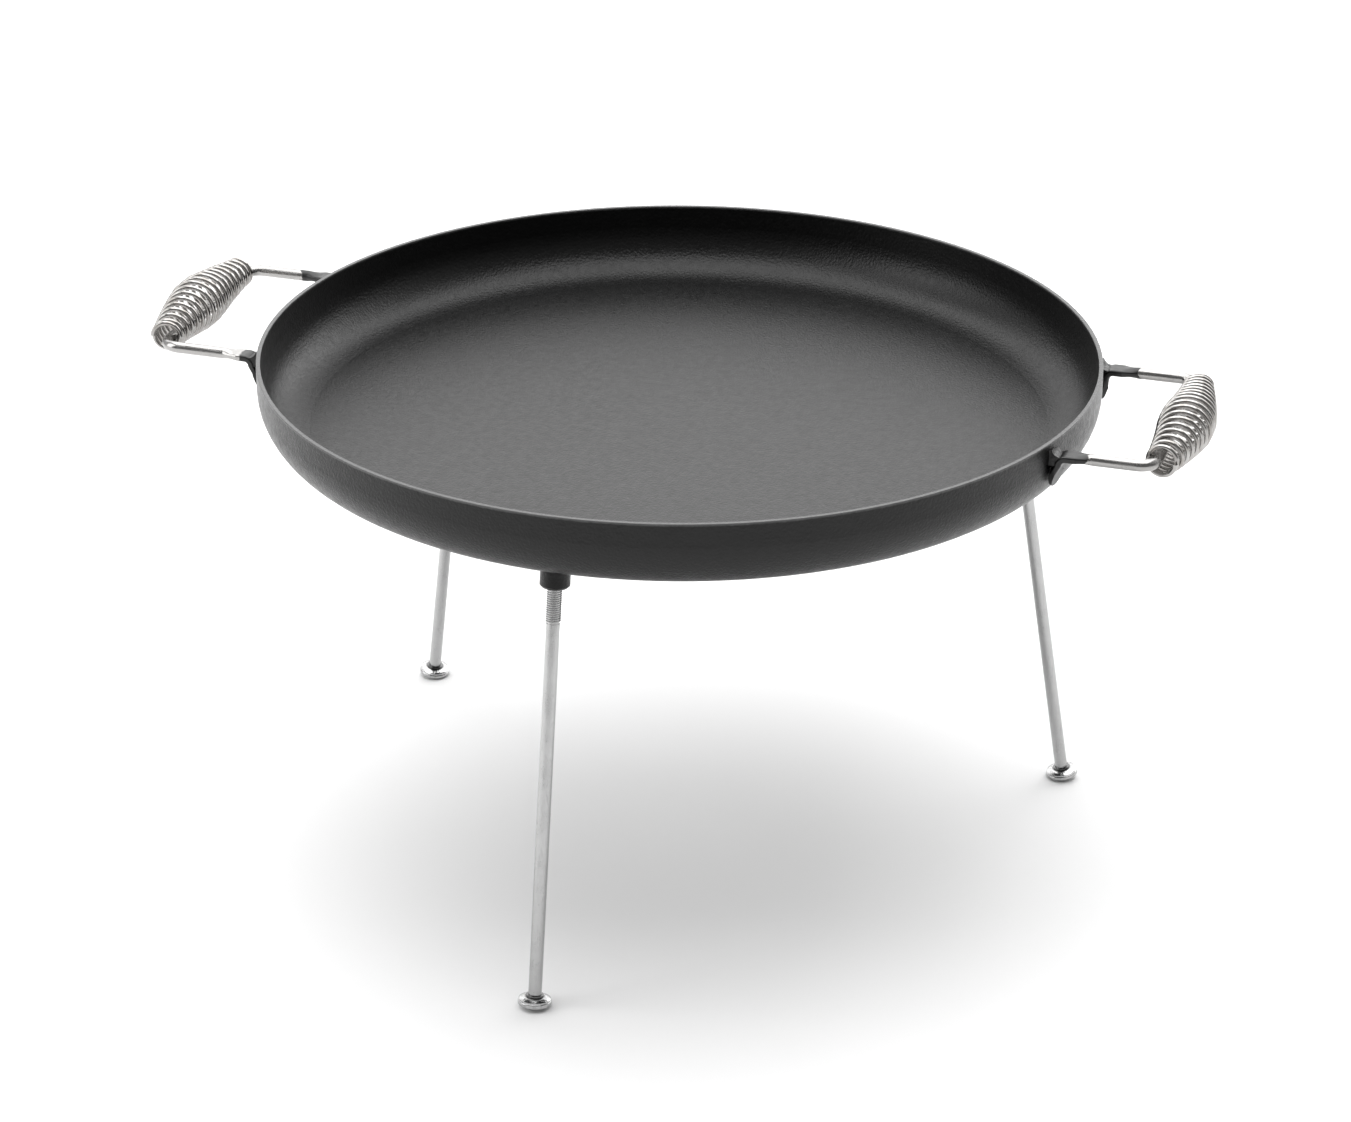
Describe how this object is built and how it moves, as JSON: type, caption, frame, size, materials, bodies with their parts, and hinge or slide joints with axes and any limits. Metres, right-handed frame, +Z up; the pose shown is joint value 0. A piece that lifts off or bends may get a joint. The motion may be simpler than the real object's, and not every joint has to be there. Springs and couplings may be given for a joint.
{
  "type": "fire pan",
  "caption": "Round shallow steel fire pan on splayed screw-in rod legs with disc feet, carried by rod handles with barrel-shaped coil spring grips.",
  "frame": {"origin": "on the ground, on the pan's axis", "axes": "+Z up along the pan's axis; +X towards the right-hand handle, along the handles; -Y towards the front leg"},
  "size_m": [0.7487, 0.5892, 0.3703],
  "materials": {
    "pan_coating": "fine-textured satin black coat",
    "weld_coating": "black coat over weld",
    "zinc_plate": "bright zinc plate with fine scratches",
    "foot_plate": "bright plated pressing",
    "handle_plate": "plated rod with drawn streaks, black coat at the welded ends",
    "spring_plate": "bright nickel-plated spring wire"
  },
  "bodies": {
    "pan": {"pan": "pan_coating", "right_leg_boss": "pan_coating", "right_boss_weld": "pan_coating", "left_leg_boss": "pan_coating", "left_boss_weld": "pan_coating", "front_leg_boss": "pan_coating", "front_boss_weld": "pan_coating", "right_handle_rod": "handle_plate", "right_handle_front_weld": "weld_coating", "right_handle_rear_weld": "weld_coating", "left_handle_rod": "handle_plate", "left_handle_front_weld": "weld_coating", "left_handle_rear_weld": "weld_coating"},
    "right_foot": {"right_foot_cap": "foot_plate", "right_foot_pad": "foot_plate"},
    "right_leg": {"right_leg_rod": "zinc_plate"},
    "left_foot": {"left_foot_cap": "foot_plate", "left_foot_pad": "foot_plate"},
    "left_leg": {"left_leg_rod": "zinc_plate"},
    "front_foot": {"front_foot_cap": "foot_plate", "front_foot_pad": "foot_plate"},
    "front_leg": {"front_leg_rod": "zinc_plate"},
    "right_grip": {"right_grip_coil": "spring_plate"},
    "left_grip": {"left_grip_coil": "spring_plate"}
  },
  "joints": [
    {"name": "right_leg_travel", "type": "slide", "parent": "pan", "child": "right_foot", "axis": [0.1383, 0.0732, -0.9877], "range_m": [0, 0.0135]},
    {"name": "right_leg_screw", "type": "hinge", "parent": "right_foot", "child": "right_leg", "pos_m": [0.21487, 0.11377, 0.28747], "axis": [0.1383, 0.0732, -0.9877], "range_deg": [0, 3240]},
    {"name": "left_leg_travel", "type": "slide", "parent": "pan", "child": "left_foot", "axis": [-0.1325, 0.0831, -0.9877], "range_m": [0, 0.0135]},
    {"name": "left_leg_screw", "type": "hinge", "parent": "left_foot", "child": "left_leg", "pos_m": [-0.20596, 0.1292, 0.28747], "axis": [-0.1325, 0.0831, -0.9877], "range_deg": [0, 3240]},
    {"name": "front_leg_travel", "type": "slide", "parent": "pan", "child": "front_foot", "axis": [-0.0057, -0.1563, -0.9877], "range_m": [0, 0.0135]},
    {"name": "front_leg_screw", "type": "hinge", "parent": "front_foot", "child": "front_leg", "pos_m": [-0.00891, -0.24297, 0.28747], "axis": [-0.0057, -0.1563, -0.9877], "range_deg": [0, 3240]},
    {"name": "right_grip_turn", "type": "hinge", "parent": "pan", "child": "right_grip", "pos_m": [0.3481, 0, 0.34863], "axis": [0, 1, 0], "continuous": true},
    {"name": "left_grip_turn", "type": "hinge", "parent": "pan", "child": "left_grip", "pos_m": [-0.3538, 0, 0.35143], "axis": [0, 1, 0], "continuous": true}
  ],
  "couplings": [
    {"joint": "right_leg_screw", "follows": "right_leg_travel", "rad_per_m": 4188.8},
    {"joint": "left_leg_screw", "follows": "left_leg_travel", "rad_per_m": 4188.8},
    {"joint": "front_leg_screw", "follows": "front_leg_travel", "rad_per_m": 4188.8}
  ]
}
